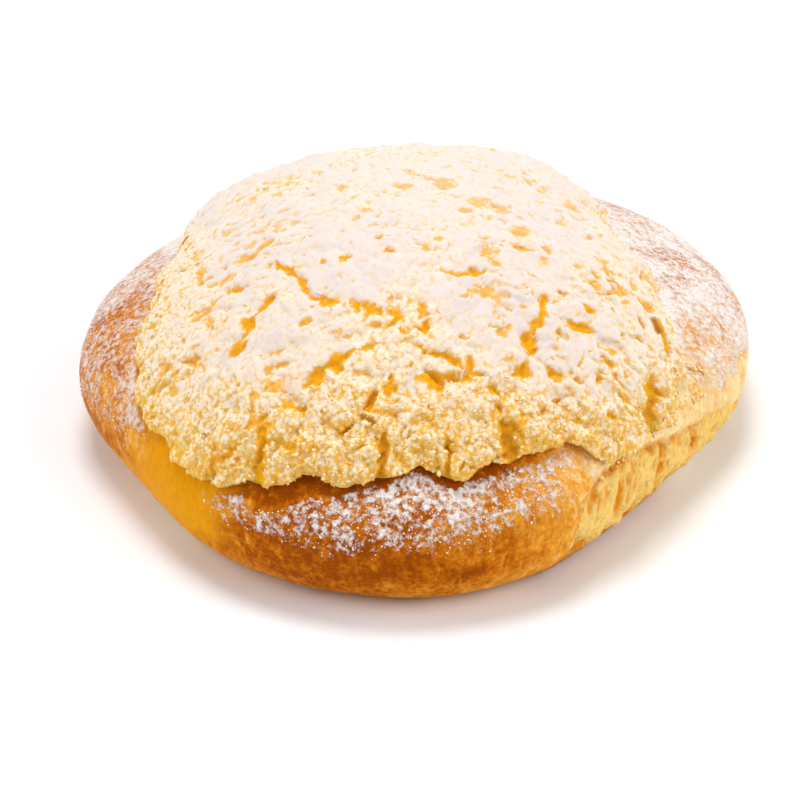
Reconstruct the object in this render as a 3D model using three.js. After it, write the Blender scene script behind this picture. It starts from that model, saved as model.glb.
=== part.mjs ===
// A coconut-topped sweet bun: a soft round bun of enriched dough under a thick, cracked coconut crust.
// It rose beside other buns, so its plan has three free lobes and two flat sides, one of them torn open.
// Millimetres, +Z up. The origin is on the flat base, under the middle of the bounding box.
import * as THREE from "three";
import { mergeVertices } from "three/addons/utils/BufferGeometryUtils.js";

// Bun: plan outline. A swell is [waves round the bun, size, direction of a crest in degrees].
const BUN_RADIUS = 58;
const BUN_SWELLS = [
  [1, 2.9, 74],
  [2, 2.65, 33],
  [3, 2.3, 35],
];
// Flat sides, where a neighbour stopped the dough: [direction in degrees, distance from the middle].
const FLAT_SIDES = [
  [-36.5, 51.5],
  [-149, 54.9],
];
const FLAT_BLEND = 5;

// Bun: upright section
const BELLY_HEIGHT = 12.9;
const DOME_HEIGHT = 33.4;
const DOME_POWER = 2.2;
const FOOT_SHARE = 0.83;

// Torn face on the first flat side: a sunken band of crumb with pits, from low to high on the side
const TORN_DIRECTION = -31;
const TORN_HALF_ANGLE = 30;
const TORN_FADE_ANGLE = 8;
const TORN_BAND = [3.5, 17.5];
const TORN_DEPTH = 1.3;
const TORN_SOFT = 2.5;
const TORN_PIT_DEPTH = 0.7;
const TORN_PIT_PITCH = 8.5;
const TORN_PIT_DRIFT = 0.37;

// Coconut topping: plan outline, section and the gap to the bun that it sits on
const TOPPING_RADIUS = 47.8;
const TOPPING_SWELLS = [
  [1, 3.25, -131],
  [2, 2.45, -89.5],
  [3, 2.35, -24],
  [4, 2.25, -37],
  [5, 1.15, -14.5],
];
const EDGE_LUMPS = [
  [8, 0.6],
  [13, 0.6],
  [21, 0.55],
  [34, 0.35],
];
const WIDEST_SHARE = 0.985;
const WIDEST_BLEND = 1.5;
const CROWN_THICKNESS = 15.2;
const RIM_THICKNESS = 5.4;
const RIM_POWER = 9;
const LIP_LIFT = 1.4;
const LIP_START = 0.9;
const SEAT_GAP = 0.35;

// Clumps of the topping, large and small: rounded cells on a sunflower spiral, some parted by creases
const CLUMP_SPREAD = 56;
const LARGE_CLUMPS = {
  count: 120,
  jitter: 3.2,
  swell: 0.8,
  creaseWidth: 2.2,
  creaseDepth: 1.4,
  creaseShare: 0.4,
};
const SMALL_CLUMPS = {
  count: 560,
  jitter: 1.4,
  swell: 0.7,
  creaseWidth: 1.4,
  creaseDepth: 0.6,
  creaseShare: 0.5,
};

// Main cracks: [start x, start y, heading, length, bend over the length, half width], in mm and degrees
const CRACKS = [
  [-28.7, -10.5, 4, 5.5, 42, 1.2],
  [-24, -12.8, -66, 28.3, 58, 1.5],
  [-2.4, -29.1, -118, 4, -31, 1.2],
  [-23.7, -21.9, -133, 10.3, 13, 1.6],
  [-6.9, -34.7, -166, 11.4, 23, 1.5],
  [-34.8, -29.2, 148, 7, -19, 1.2],
  [-40, -24.7, -162, 4.2, -36, 1.2],
  [22.2, -22.7, -117, 10, 15, 1.4],
  [16, -36.7, 26, 4.5, 19, 1.4],
  [1.1, -39.3, -24, 4.3, -5, 1.5],
  [0.5, -34.3, -26, 10.8, 16, 1.3],
  [5, -39.6, -5, 4.2, 36, 1.2],
  [3.8, -20.1, -15, 10.7, 64, 1.2],
  [-1.9, 8, -20, 9.7, 11, 1.2],
  [32.2, -6.9, -63, 6.5, 15, 1.4],
  [42.5, -13, -60, 3.5, 0, 1.8],
  [40.7, -24.5, -92, 5, 0, 1.6],
  [-24, -42.5, -105, 6, 0, 1.4],
  [-4.3, -46, -95, 6, 0, 1.5],
  [15, -43, -70, 6, 0, 1.4],
];
const CRACK_DEPTH = 2.4;
const CRACK_FLOOR_SHARE = 0.4;
const CRACK_SHOULDER_SHARE = 1.6;
const CRACK_STEPS = 8;
const DEEPEST_SHARE = 0.6;

// Fineness of the two meshes
const BUN_SECTORS = 104;
const BUN_BELLY_ROWS = 7;
const BUN_DOME_ROWS = 11;
const TOPPING_DETAIL = 20;
const TOPPING_OUTER_ANGLE = 118;

const GOLDEN_ANGLE = 137.508;
const radians = THREE.MathUtils.degToRad;
const smoothstep = THREE.MathUtils.smoothstep;

// A fixed number from 0 to 1 for each whole number, in place of a random draw.
function scatter(n) {
  const s = Math.sin(n * 12.9898 + 78.233) * 43758.5453;
  return s - Math.floor(s);
}

function swollen(radius, swells, azimuth) {
  return swells.reduce(
    (sum, [waves, size, crest]) => sum + size * Math.cos(waves * (azimuth - radians(crest))),
    radius,
  );
}

// The smaller of two lengths, rounded where they are nearly equal.
function softMin(a, b, blend) {
  const h = THREE.MathUtils.clamp(0.5 + (b - a) / (2 * blend), 0, 1);
  return b * (1 - h) + a * h - blend * h * (1 - h);
}

// Radius of the bun's widest line.
function bunRadius(azimuth) {
  const steepest = 0.35;
  return FLAT_SIDES.reduce((radius, [direction, distance]) => {
    const lean = Math.max(Math.cos(azimuth - radians(direction)), steepest);
    return softMin(radius, distance / lean, FLAT_BLEND);
  }, swollen(BUN_RADIUS, BUN_SWELLS, azimuth));
}

// Height of the bun's dome at a distance from the middle.
function domeHeight(azimuth, distance) {
  const share = Math.min(distance / bunRadius(azimuth), 1);
  return BELLY_HEIGHT + (DOME_HEIGHT - BELLY_HEIGHT) * Math.sqrt(1 - share ** DOME_POWER);
}

// Half of the bun's section as [share of the widest radius, height], from the base up to the top.
function bunSection() {
  const quarter = Math.PI / 2;
  const section = [new THREE.Vector2(0, 0), new THREE.Vector2(FOOT_SHARE / 2, 0)];
  for (let row = 0; row < BUN_BELLY_ROWS; row++) {
    const turn = quarter * (row / BUN_BELLY_ROWS - 1);
    const share = FOOT_SHARE + (1 - FOOT_SHARE) * Math.cos(turn);
    section.push(new THREE.Vector2(share, BELLY_HEIGHT * (1 + Math.sin(turn))));
  }
  for (let row = 0; row < BUN_DOME_ROWS; row++) {
    const turn = quarter * (row / BUN_DOME_ROWS);
    const height = BELLY_HEIGHT + (DOME_HEIGHT - BELLY_HEIGHT) * Math.sin(turn);
    section.push(new THREE.Vector2(Math.cos(turn) ** (2 / DOME_POWER), height));
  }
  section.push(new THREE.Vector2(0, DOME_HEIGHT));
  return section;
}

// How far the torn face is sunk: a soft-edged band with pits in rows along it.
function tornDepth(azimuth, height) {
  const away = Math.atan2(
    Math.sin(azimuth - radians(TORN_DIRECTION)),
    Math.cos(azimuth - radians(TORN_DIRECTION)),
  );
  const fade = radians(TORN_HALF_ANGLE - TORN_FADE_ANGLE);
  const along = 1 - smoothstep(Math.abs(away), fade, radians(TORN_HALF_ANGLE));
  const [low, high] = TORN_BAND;
  const upward = smoothstep(height, low - TORN_SOFT, low) * (1 - smoothstep(height, high - TORN_SOFT, high));
  const walk = (away * BUN_RADIUS * 2 * Math.PI) / TORN_PIT_PITCH;
  const pits = Math.sin(walk) * Math.sin(walk * TORN_PIT_DRIFT + height);
  return along * upward * (TORN_DEPTH + TORN_PIT_DEPTH * pits);
}

// A geometry with one vertex for each place, so that a mesh stays closed when its vertices move.
function joined(geometry) {
  geometry.deleteAttribute("normal");
  geometry.deleteAttribute("uv");
  return mergeVertices(geometry);
}

// Moves every vertex of a geometry to the place that move gives for it.
function reshape(geometry, move) {
  const places = geometry.getAttribute("position");
  const place = new THREE.Vector3();
  for (let i = 0; i < places.count; i++) {
    move(place.fromBufferAttribute(places, i));
    places.setXYZ(i, place.x, place.y, place.z);
  }
  geometry.computeVertexNormals();
  return geometry;
}

function bunGeometry() {
  const turned = joined(new THREE.LatheGeometry(bunSection(), BUN_SECTORS).rotateX(Math.PI / 2));
  return reshape(turned, (place) => {
    const azimuth = Math.atan2(place.y, place.x);
    const share = Math.hypot(place.x, place.y);
    const radius = share * bunRadius(azimuth) - tornDepth(azimuth, place.z) * share;
    place.set(radius * Math.cos(azimuth), radius * Math.sin(azimuth), place.z);
  });
}

// Radius of the topping's edge, with the lumps of its crumbling rim, kept on the bun.
function toppingRadius(azimuth) {
  const lumpy = EDGE_LUMPS.reduce(
    (radius, [waves, size]) => radius + size * Math.sin(waves * azimuth + radians(GOLDEN_ANGLE) * waves),
    swollen(TOPPING_RADIUS, TOPPING_SWELLS, azimuth),
  );
  return softMin(lumpy, WIDEST_SHARE * bunRadius(azimuth), WIDEST_BLEND);
}

// Upper face of the topping before its relief, at a share of the way from the middle to the edge.
function toppingFace(azimuth, share) {
  const radius = share * toppingRadius(azimuth);
  const crown = (CROWN_THICKNESS - RIM_THICKNESS) * (1 - share ** 2);
  const thickness = (RIM_THICKNESS - LIP_LIFT) * Math.sqrt(1 - share ** RIM_POWER) + crown;
  const height = domeHeight(azimuth, radius) + SEAT_GAP + LIP_LIFT + thickness;
  return new THREE.Vector3(radius * Math.cos(azimuth), radius * Math.sin(azimuth), height);
}

// Lower face of the topping, which follows the bun and lifts off it at the lip.
function toppingSeat(azimuth, share) {
  const radius = share * toppingRadius(azimuth);
  const height = domeHeight(azimuth, radius) + SEAT_GAP + LIP_LIFT * smoothstep(share, LIP_START, 1);
  return new THREE.Vector3(radius * Math.cos(azimuth), radius * Math.sin(azimuth), height);
}

// Middles of the clumps, on a sunflower spiral with each one nudged aside.
function clumpMiddles({ count, jitter }) {
  return Array.from({ length: count }, (_, i) => {
    const azimuth = radians(i * GOLDEN_ANGLE);
    const distance = CLUMP_SPREAD * Math.sqrt((i + 0.5) / count);
    return new THREE.Vector2(
      distance * Math.cos(azimuth) + jitter * (2 * scatter(2 * i) - 1),
      distance * Math.sin(azimuth) + jitter * (2 * scatter(2 * i + 1) - 1),
    );
  });
}

// Points along a main crack, which is an arc in plan.
function crackPath([x, y, heading, length, bend]) {
  const path = [new THREE.Vector2(x, y)];
  for (let step = 0; step < CRACK_STEPS; step++) {
    const turn = radians(heading + (bend * (step + 0.5)) / CRACK_STEPS);
    const stride = new THREE.Vector2(Math.cos(turn), Math.sin(turn)).multiplyScalar(length / CRACK_STEPS);
    path.push(path[step].clone().add(stride));
  }
  return path;
}

const LARGE_MIDDLES = clumpMiddles(LARGE_CLUMPS);
const SMALL_MIDDLES = clumpMiddles(SMALL_CLUMPS);
const CRACK_PATHS = CRACKS.map(crackPath);

// Rounded swell of the nearest clump, less the crease towards its neighbour where one has opened.
function clumpRelief(spot, middles, { count, swell, creaseWidth, creaseDepth, creaseShare }) {
  const order = middles.map((middle, i) => [middle.distanceTo(spot), i]).sort((a, b) => a[0] - b[0]);
  const [[nearest, own], [second, other]] = order;
  const round = swell * (1 - (2 * nearest) / (nearest + second));
  const opened = scatter(Math.min(own, other) * count + Math.max(own, other)) < creaseShare;
  const crease = opened ? creaseDepth * (1 - smoothstep(second - nearest, 0, creaseWidth)) : 0;
  return round - crease;
}

// Depth of the main cracks, deepest along their middle line and shallow at their ends.
function crackDepth(spot) {
  return CRACK_PATHS.reduce((deepest, path, i) => {
    const halfWidth = CRACKS[i][5];
    const floor = halfWidth * CRACK_FLOOR_SHARE;
    const shoulder = halfWidth * CRACK_SHOULDER_SHARE;
    const depths = path.map((point, step) => {
      const taper = Math.sqrt(Math.sin(Math.PI * ((step + 1) / (CRACK_STEPS + 2))));
      return taper * (1 - smoothstep(point.distanceTo(spot), floor, shoulder));
    });
    return Math.max(deepest, CRACK_DEPTH * Math.max(...depths));
  }, 0);
}

// Outward normal of the topping's smooth upper face.
function toppingNormal(azimuth, share) {
  const step = 0.01;
  const outermost = 0.999;
  const inner = toppingFace(azimuth, Math.max(share - step, step));
  const outward = toppingFace(azimuth, Math.min(Math.max(share, step) + step, outermost)).sub(inner);
  const around = toppingFace(azimuth + step, share).sub(toppingFace(azimuth - step, share));
  return outward.cross(around).normalize();
}

// The upper face with its clumps and cracks, kept clear of the face below.
function toppingCrust(azimuth, share) {
  const face = toppingFace(azimuth, share);
  const spot = new THREE.Vector2(face.x, face.y);
  const room = face.z - toppingSeat(azimuth, share).z;
  const large = clumpRelief(spot, LARGE_MIDDLES, LARGE_CLUMPS);
  const small = clumpRelief(spot, SMALL_MIDDLES, SMALL_CLUMPS);
  const relief = Math.max(large + small - crackDepth(spot), -DEEPEST_SHARE * room);
  return face.addScaledVector(toppingNormal(azimuth, share), relief);
}

// Share of the way from the middle to the edge, for rows that crowd together towards the steep rim.
function crowdedToRim(way) {
  return (way * (5 - way ** 4)) / 4;
}

// A fine ball whose cap becomes the upper face and whose remainder becomes the seat on the bun.
function toppingGeometry() {
  const ball = joined(new THREE.IcosahedronGeometry(1, TOPPING_DETAIL));
  const outerAngle = radians(TOPPING_OUTER_ANGLE);
  return reshape(ball, (place) => {
    const azimuth = Math.atan2(place.y, place.x);
    const fromTop = Math.atan2(Math.hypot(place.x, place.y), place.z);
    if (fromTop <= outerAngle) {
      place.copy(toppingCrust(azimuth, crowdedToRim(fromTop / outerAngle)));
    } else {
      place.copy(toppingSeat(azimuth, (Math.PI - fromTop) / (Math.PI - outerAngle)));
    }
  });
}

function piece(name, geometry, material) {
  const mesh = new THREE.Mesh(geometry, material);
  mesh.name = name;
  return mesh;
}

const crust = new THREE.MeshStandardMaterial({ color: 0xc98442, roughness: 0.55, metalness: 0 });
const coconut = new THREE.MeshStandardMaterial({ color: 0xf3d18b, roughness: 0.9, metalness: 0 });

const sweetBun = new THREE.Group();
sweetBun.add(piece("bun", bunGeometry(), crust), piece("coconut_topping", toppingGeometry(), coconut));

const middle = new THREE.Box3().setFromObject(sweetBun).getCenter(new THREE.Vector3());
sweetBun.children.forEach((mesh) => mesh.position.set(-middle.x, -middle.y, 0));

export default sweetBun;
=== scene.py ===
# A coconut-topped sweet bun: baked dough, a cracked coconut crust, loose coconut crumbs and icing sugar.
import itertools
import math

import bmesh
import bpy
import numpy as np
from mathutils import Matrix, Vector


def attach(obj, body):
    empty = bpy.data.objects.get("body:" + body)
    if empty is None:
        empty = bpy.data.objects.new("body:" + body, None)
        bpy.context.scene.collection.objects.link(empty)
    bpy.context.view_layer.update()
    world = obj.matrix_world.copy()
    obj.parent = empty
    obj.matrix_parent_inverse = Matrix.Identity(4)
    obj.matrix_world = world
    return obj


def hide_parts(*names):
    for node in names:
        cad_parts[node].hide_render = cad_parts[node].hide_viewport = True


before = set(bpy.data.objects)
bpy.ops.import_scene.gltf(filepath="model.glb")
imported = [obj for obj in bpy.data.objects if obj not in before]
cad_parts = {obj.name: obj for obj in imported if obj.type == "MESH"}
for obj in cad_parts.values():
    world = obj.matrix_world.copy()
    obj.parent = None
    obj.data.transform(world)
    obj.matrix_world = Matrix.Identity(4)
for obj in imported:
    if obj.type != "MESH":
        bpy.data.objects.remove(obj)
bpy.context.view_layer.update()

# Sizes are in millimetres and angles in degrees. Meshes are made in metres.
MM = 0.001
GOLDEN_ANGLE = math.radians(137.508)

# Dough: plan outline as mean radius and swells [waves, size, crest], flat sides [direction, distance]
BUN_RADIUS = 58.0
BUN_SWELLS = [(1, 2.9, 74), (2, 2.65, 33), (3, 2.3, 35)]
FLAT_SIDES = [(-36.5, 51.5), (-149, 54.9)]
FLAT_BLEND = 5.0
STEEPEST_LEAN = 0.35

# Dough: upright section
BELLY_HEIGHT = 12.9
DOME_HEIGHT = 33.4
DOME_POWER = 2.2
FOOT_SHARE = 0.83

# Torn face: where the upper tear runs, as direction and height, and how far the crumb is sunk
TEAR_LINE = [(-61, 3), (-59, 9), (-57, 15.5), (-50, 17.8), (-37, 17.2), (-23, 14.6), (-9, 12.5), (3, 6)]
TORN_FOOT = 2.2
TORN_DEPTH = 0.5
TORN_HOLE_DEPTH = 1.2
TEAR_GROOVE = 0.7
TEAR_OPEN = (-62, -57, -24, -12)
# Single holes in the torn crumb: direction, height, radius
TORN_HOLES = [(-43.2, 13.5, 1.2), (-20.2, 10, 1.1), (-43.5, 10.2, 1.0), (-53.8, 15, 1.3), (-34.5, 13, 1.0)]

# Coconut crust: plan outline, section and seat
TOPPING_RADIUS = 47.8
TOPPING_SWELLS = [(1, 3.25, -131), (2, 2.45, -89.5), (3, 2.35, -24), (4, 2.25, -37), (5, 1.15, -14.5)]
EDGE_LUMPS = [(8, 0.6), (13, 0.6), (21, 0.55), (34, 0.35)]
WIDEST_SHARE = 0.985
WIDEST_BLEND = 1.5
CROWN_THICKNESS = 15.2
RIM_THICKNESS = 5.4
RIM_POWER = 9
LIP_LIFT = 1.4
LIP_START = 0.9
SEAT_GAP = 0.35

# Clumps of the crust: count, spacing, nudge, swell, crease width, crease depth, share of creases opened
LARGE_CLUMPS = (200, 5.112, 3.2, 1.0, 2.0, 0.4, 0.45)
SMALL_CLUMPS = (930, 2.366, 1.4, 0.6, 1.3, 0.35, 0.5)

# Cracks of the coconut crust: start x, start y, heading, length, bend over the length, half width
CRACKS = [
    (-28.7, -10.5, 4, 5.5, 42, 0.8), (-24, -12.8, -66, 13, 26, 0.6), (-16.6, -23.4, -36, 15, 30, 0.7),
    (-2.4, -29.1, -118, 4, -31, 0.9), (-23.7, -21.9, -133, 10.3, 13, 0.7),
    (-6.9, -34.7, -166, 11.4, 23, 0.7), (-34.8, -29.2, 148, 7, -19, 0.6),
    (-40, -24.7, -162, 4.2, -36, 0.8), (22.2, -22.7, -117, 10, 15, 0.7), (16, -36.7, 26, 4.5, 19, 0.9),
    (1.1, -39.3, -24, 4.3, -5, 1.2), (0.5, -34.3, -26, 10.8, 16, 0.6), (5, -39.6, -5, 4.2, 36, 0.7),
    (3.8, -20.1, -15, 10.7, 64, 0.55), (-1.9, 8, -20, 9.7, 11, 0.6), (32.2, -6.9, -63, 6.5, 15, 0.4),
    (42.5, -13, -60, 3.5, 0, 0.9), (40.7, -24.5, -92, 5, 0, 1.1), (-24, -42.5, -105, 6, 0, 1.1),
    (-4.3, -46, -95, 6, 0, 1.3), (15, -43, -70, 6, 0, 1.1), (11.1, -0.2, -11, 5.9, -2, 0.6),
    (27, -24, 0, 4.4, -7, 0.7), (14.1, -42.5, -6, 3.4, 10, 0.9), (5.7, -46, -85, 5, 0, 0.9),
]
# The larger pits, as pixels of the photograph: x, y, width, height
PITS_SEEN = [
    (522, 245, 20, 8), (545, 246, 7, 13), (562, 292, 7, 9), (551, 365, 17, 9), (401, 326, 17, 7),
    (426, 323, 7, 14), (465, 336, 13, 7), (498, 393, 25, 13), (389, 378, 8, 17), (392, 389, 17, 8),
    (276, 227, 8, 10), (321, 260, 12, 7), (341, 254, 14, 8), (376, 233, 16, 6), (387, 249, 12, 6),
    (303, 321, 18, 6), (232, 289, 18, 5), (302, 407, 18, 9), (369, 396, 9, 19), (261, 415, 13, 8),
    (367, 415, 15, 6), (404, 182, 24, 5), (442, 181, 24, 7), (477, 200, 21, 5), (503, 208, 16, 8),
    (465, 208, 13, 7), (569, 203, 12, 8), (520, 229, 16, 13), (605, 260, 10, 6), (561, 218, 13, 7),
    (597, 271, 6, 8), (613, 276, 8, 7), (624, 288, 7, 8), (635, 282, 5, 8), (649, 303, 10, 8),
    (645, 324, 8, 7), (591, 307, 12, 5), (624, 334, 12, 7), (608, 359, 11, 13), (580, 380, 13, 7),
    (626, 402, 12, 6), (603, 384, 8, 10), (558, 332, 9, 6), (198, 274, 8, 15), (163, 370, 11, 11),
    (186, 366, 25, 4), (152, 386, 15, 8), (219, 454, 29, 15), (331, 297, 25, 14), (353, 303, 14, 14),
    (373, 308, 24, 9), (396, 311, 19, 11), (268, 295, 14, 11), (245, 323, 11, 17), (238, 344, 17, 14),
    (314, 377, 19, 16), (339, 359, 19, 19), (362, 346, 15, 11), (431, 381, 20, 14), (455, 358, 15, 8),
    (471, 362, 10, 15), (483, 370, 17, 7), (467, 374, 14, 10), (427, 347, 13, 10), (544, 299, 10, 14),
    (546, 310, 12, 12), (536, 319, 14, 10), (531, 340, 7, 18), (523, 369, 20, 8), (264, 243, 17, 10),
    (248, 253, 18, 10), (642, 340, 8, 6), (653, 404, 13, 20), (660, 386, 6, 9), (340, 425, 13, 7),
    (560, 404, 6, 11), (615, 422, 11, 9),
]
PIXEL_REACH = 3.0
LEAST_PIT = 0.4
# Places where the crust is open down to the browned dough: x, y, radius
BROWNED_HOLES = [(41.8, -13.9, 1.6), (-34, -39.9, 0.7), (-41.5, 16.7, 1.4), (-40.2, 13, 1.2)]
CRACK_DEPTH = 0.8
PIT_DEPTH_SHARE = 0.9
PIT_RAGGEDNESS = 0.4
# Small golden spots: size, how far apart their groups are, depth
SPOT_SIZE = 1.5
SPOT_GROUPS = 7.0
SPOT_DEPTH = 0.3
CRACK_STEPS = 20
DEEPEST_SHARE = 0.6

# Coconut lumps and grains in the crust, and loose crumbs on it
LUMP_SIZE = 3.4
LUMP_SWELL = 0.55
GRAIN_SIZE = 1.2
GRAIN_SWELL = 0.4
CRUMB_COUNT = 13000
CRUMB_TRIES = 25000
CRUMB_RADIUS = (0.19, 0.46)
CRUMB_JITTER = 0.006
# Shape of the strewn grains: stretch, flatness, lumpiness
CRUMB_SHAPE = ((0.6, 1.4), 0.5, 0.3)
SPECK_SHAPE = ((0.7, 1.3), 0.3, 0.2)
SPILLED_CRUMBS = 300
SPILL_DIRECTIONS = (-62, -12)
SPILL_TURNS = (12, 32)

# Icing sugar by direction: how much lies there, and the height down to which it reaches
SUGAR_COVER = [
    (-180, 0.46), (-152, 0.37), (-142, 0), (-134, 0.12), (-127, 0.34), (-118, 0.42), (-95, 0.47),
    (-75, 0.44), (-62, 0.4), (-56, 0.26), (-52, 0), (-24, 0), (-14, 0.65), (0, 0.85), (10, 0.92),
    (20, 1.0), (60, 1.1), (100, 1.05), (150, 0.95), (165, 0.72), (180, 0.46),
]
SUGAR_FOOT = [
    (-180, 10), (-162, 10.5), (-150, 15), (-138, 19), (-128, 13), (-118, 11.5), (-100, 10.5), (-88, 12.5),
    (-75, 13), (-62, 15.5), (-50, 22), (-24, 22), (-14, 16), (5, 12.5), (20, 11), (100, 11), (180, 10),
]
SPECKS_ON_CRUST = 7000
TRIES_PER_SPECK = 8
LOWEST_SPECK_TURN = -25
SPECK_RADIUS = (0.1, 0.24)

# Baking by direction, from pale to deep brown
BAKING = [
    (-180, 0.8), (-165, 0.7), (-152, 0.54), (-140, 0.42), (-128, 0.66), (-115, 0.95), (-93, 1.0),
    (-75, 0.72), (-64, 0.56), (-58, 0.46), (-53, 0.26), (-47, 0.08), (-24, 0.03), (-12, 0.26), (0, 0.54),
    (10, 0.68), (25, 0.78), (60, 0.8), (180, 0.8),
]
# Baking by height: the share of it that shows, palest at the foot
BAKING_UP = [(0, 0.42), (3, 0.62), (9, 1.0), (14, 0.92), (20, 0.8), (33, 0.7)]

# Reaches by direction: middle and reach to either side
BARE_STRIP = (-112, 12)
PALE_SIDE = (-12, 45)
TORN_SIDE = (-44, 30)
# LIP_SHADE is where shade is painted on the crust just under the coconut crust's lip
LIP_SHADE = (-105, 50)
AMBER_SIDE = (-137, 20)
CLEAR_SUGAR = (-95, 55)
AMBER_HEIGHTS = (4, 10, 20, 24)

# Reaches on the plan of the coconut crust, from where each starts to where it is full
LEFT_RIM = ((26, 46), (0, 22))
RIGHT_RIM = ((14, 38), (8, 30))
SUGARED_BACK = (-50, -24)
PALE_DIPS = (-16, -4)
# Painted shade in the deepest bare dips reaches across from the left to the right side
SHADED_DIPS_REACH = (-22, -10)

# Unevenness, as layers of soft noise: height, size of the lumps, seed
DOUGH_LUMPS = [(0.45, 22, 11), (0.22, 8, 12)]
SKIN_WRINKLES = [(0.07, (1.5, 1.5, 6), 13), (0.05, 1.6, 14)]
TORN_FIBRES = [(0.8, (1.6, 1.6, 4.5), 15), (0.25, 1.2, 16)]
TORN_EDGE = [(1.2, 2.5, 17)]
TORN_BORDER = [(0.8, 2.6, 31), (0.4, 1.1, 32)]
TEAR_WAVES = [(0.6, 3.5, 33)]
CRACK_CLOSING = [(0.5, 2.2, 57)]
HEM_FRILL = [(0.35, 3.0, 68), (0.4, 1.5, 69)]
COAT_PATCHES = [(0.2, 11, 71), (0.14, 4, 72)]
SUGAR_ASIDE = [(2.5, 4, 74)]
SUGAR_DRIFT = [(1.8, 4, 75), (1.0, 1.6, 77)]
SUGAR_CLOTS = [(0.4, 3.5, 76)]
BAKING_ASIDE = [(3, 8, 80)]
BAKING_DRIFT = [(1.2, 6, 81)]
BAKING_MOTTLE = [(0.1, (9, 9, 3), 82), (0.08, 2.2, 83)]
AMBER_ASIDE = [(4, 6, 85)]
HOLE_BORDER = [(0.5, 1.5, 95)]
# Raggedness of what is drawn on the crust: size, reach, seed
COARSE_RAGS = (3.4, 0.8, 51)
FINE_RAGS = (1.3, 0.45, 54)
FRAYS = (0.9, 0.4, 58)

# Fineness of the meshes
BUN_SECTORS = 720
FOOT_ROWS = 5
BELLY_ROWS = 34
DOME_ROWS = 46
HIDDEN_ROWS = 8
SHOWN_TURN = 48.0
TOPPING_CELLS = 296
SEAT_SHARES = (0.985, 0.95, 0.88, 0.7, 0.4)

# View of the photograph, in its 800 by 800 frame
PHOTO_SIDE = 800
VIEW_ELEVATION = 32.0
VIEW_DISTANCE = 550.0
VIEW_TARGET_HEIGHT = 18.0
VIEW_TARGET_PIXEL = (411.2, 348.1)
PIXELS_PER_MM = 5.65
SENSOR = 36.0

# Studio, in metres: lights with place, width and power, their aim, and the floor
LIGHTS = {
    "key": ((-0.09, 0.25, 1.1), 0.5, 7.2),
    "right_fill": ((1.0, -0.36, 0.75), 1.0, 7.8),
    "left_fill": ((-1.0, -0.26, 0.75), 1.0, 5.2),
}
LIGHT_AIM = (0, 0, 0.02)
SKY_STRENGTH = 0.36
FLOOR_REACH = 3.0
FLOOR_COLOUR = (0.92, 0.935, 0.955, 1)


# Fixed draws and noise

def scatter(n):
    """A fixed number from 0 to 1 for each whole number."""
    s = np.sin(np.asarray(n, float) * 12.9898 + 78.233) * 43758.5453
    return s - np.floor(s)


def cell_draw(cells, seed):
    """A fixed number from 0 to 1 for each cell of a lattice."""
    n = cells @ np.array([73856093, 19349663, 83492791]) + seed * 69718213
    n = (n ^ (n >> 13)) * 1274126177
    n = n ^ (n >> 16)
    return (n & 0xFFFFFF) / 0xFFFFFF


def grow(value, low, high):
    t = np.clip((value - low) / (high - low), 0, 1)
    return t * t * (3 - 2 * t)


def fade(value, low, high):
    return 1 - grow(value, low, high)


def lattice(points, size):
    """Places in cells of the given size, and the cell that each is in."""
    scaled_up = points / np.asarray(size, float)
    return scaled_up, np.floor(scaled_up).astype(np.int64)


def soft_noise(points, size, seed):
    """Smooth noise from -1 to 1, with lumps of the given size."""
    scaled_up, cells = lattice(points, size)
    part = scaled_up - cells
    part = part * part * (3 - 2 * part)
    total = np.zeros(len(points))
    for corner in itertools.product((0, 1), repeat=3):
        weight = np.prod(np.where(corner, part, 1 - part), axis=-1)
        total += weight * cell_draw(cells + np.array(corner), seed)
    return 2 * total - 1


def layered(points, layers):
    return sum(height * soft_noise(points, size, seed) for height, size, seed in layers)


def band(value, start, full, fading, gone):
    """1 from full to fading, and 0 before the start and once gone."""
    return grow(value, start, full) * fade(value, fading, gone)


def read_off(table, at, outside=None):
    """The value of a table at a direction or height."""
    table = np.array(table)
    return np.interp(at, table[:, 0], table[:, 1], left=outside, right=outside)


def grain_field(points, size, seed):
    """Distance to the nearest grain's middle, in grain sizes, and its own draw."""
    scaled_up, cells = lattice(points, size)
    nearest = np.full(len(points), 9.0)
    own = np.zeros(len(points))
    for step in itertools.product((-1, 0, 1), repeat=3):
        other = cells + np.array(step)
        middle = other + np.stack([cell_draw(other, seed + axis) for axis in range(3)], axis=-1)
        gap = np.linalg.norm(scaled_up - middle, axis=-1)
        closer = gap < nearest
        own = np.where(closer, cell_draw(other, seed + 3), own)
        nearest = np.where(closer, gap, nearest)
    return nearest, own


# Form of the dough

def swollen(radius, swells, angle):
    for waves, size, crest in swells:
        radius = radius + size * np.cos(waves * (angle - math.radians(crest)))
    return radius


def on_plan(angle, radius, height):
    return np.stack([radius * np.cos(angle), radius * np.sin(angle), height], axis=-1)


def unit(vectors):
    """Vectors of length 1, upright where they had no length."""
    length = np.linalg.norm(vectors, axis=-1, keepdims=True)
    return np.where(length > 1e-9, vectors / np.maximum(length, 1e-9), [0, 0, 1])


def soft_min(a, b, blend):
    h = np.clip(0.5 + (b - a) / (2 * blend), 0, 1)
    return b * (1 - h) + a * h - blend * h * (1 - h)


def bun_radius(angle):
    radius = swollen(BUN_RADIUS, BUN_SWELLS, angle)
    for direction, distance in FLAT_SIDES:
        lean = np.maximum(np.cos(angle - math.radians(direction)), STEEPEST_LEAN)
        radius = soft_min(radius, distance / lean, FLAT_BLEND)
    return radius


def dome_height(angle, distance):
    share = np.minimum(distance / bun_radius(angle), 1)
    return BELLY_HEIGHT + (DOME_HEIGHT - BELLY_HEIGHT) * np.sqrt(1 - share ** DOME_POWER)


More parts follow.
